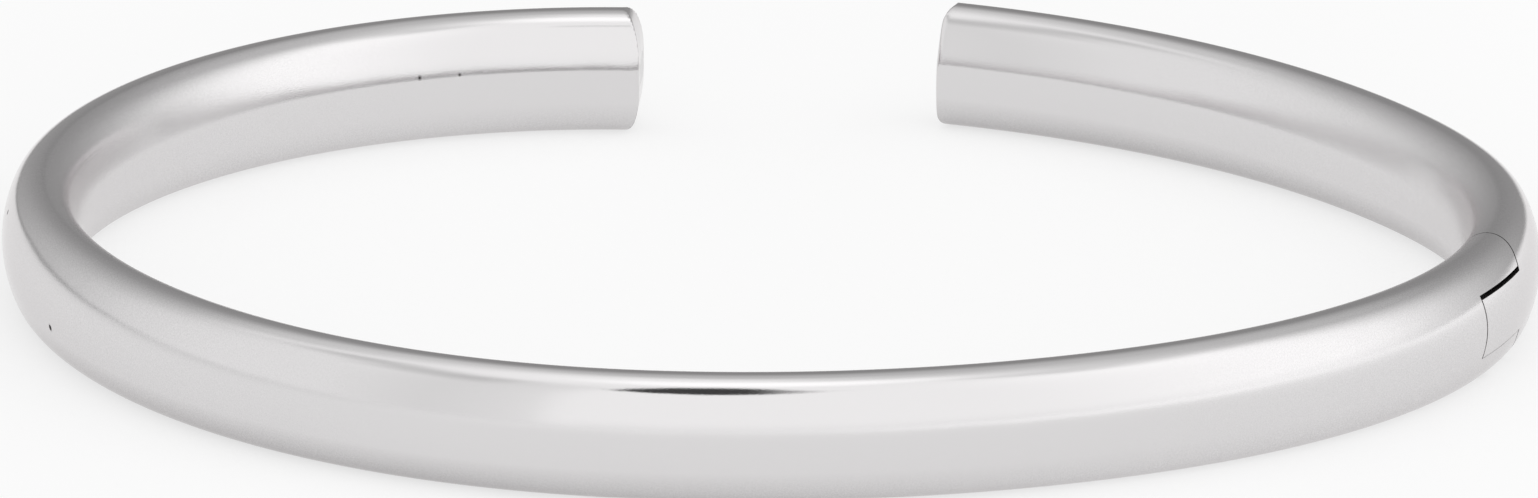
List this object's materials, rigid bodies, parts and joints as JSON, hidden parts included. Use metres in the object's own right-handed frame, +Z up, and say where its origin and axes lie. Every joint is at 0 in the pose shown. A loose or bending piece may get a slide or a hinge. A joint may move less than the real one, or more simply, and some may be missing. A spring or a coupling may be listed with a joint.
{
  "type": "hinged cuff bangle",
  "caption": "Open oval cuff bangle of smooth polished metal with an oval band section and a flush upright-pin hinge at one side.",
  "frame": {"origin": "on the surface the bangle lies on, under the middle of its outline's box", "axes": "+X to the wearer's hinge side along the longer width of the oval, +Y from the closed front to the open mouth, +Z up, along the wrist's axis"},
  "size_m": [0.062, 0.053, 0.0052],
  "materials": {
    "silver": "polished silver, lightly worn"
  },
  "bodies": {
    "long_arm": {"long_arm": "silver", "hinge_pin": "silver"},
    "short_arm": {"short_arm": "silver"}
  },
  "joints": [
    {"name": "arm_hinge", "type": "hinge", "parent": "long_arm", "child": "short_arm", "pos_m": [0.028, -0.0089, 0.0026], "axis": [0, 0, -1], "range_deg": [0, 40]}
  ]
}
